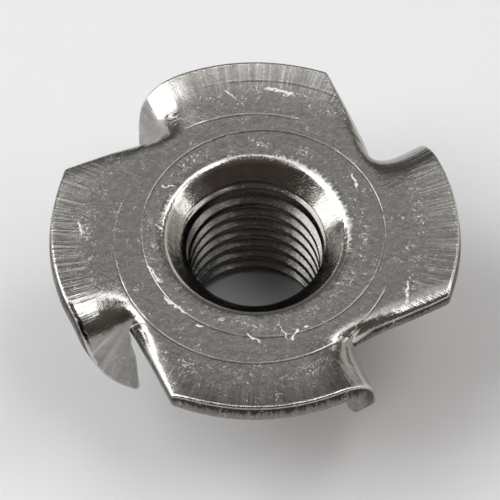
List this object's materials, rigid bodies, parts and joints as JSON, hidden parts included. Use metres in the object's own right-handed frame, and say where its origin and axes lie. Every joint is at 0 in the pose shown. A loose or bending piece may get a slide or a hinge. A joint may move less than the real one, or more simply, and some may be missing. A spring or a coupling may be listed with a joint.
{
  "type": "tee nut",
  "caption": "Round flanged tee nut: a threaded barrel drawn from sheet, with prongs folded down from the rim to bite into wood.",
  "frame": {"origin": "centre of the barrel's lower end, on the bore axis", "axes": "+Z along the bore axis from the barrel's lower end towards the flange; +X and +Y in the flange's plane, with the first fold line 24.4 degrees anticlockwise from +X"},
  "size_m": [0.022, 0.022, 0.0096],
  "materials": {
    "steel": "satin, worn by tumbling: fine scratches, nicks and tool rings"
  },
  "bodies": {
    "root": {"tee_nut": "steel"}
  },
  "joints": []
}
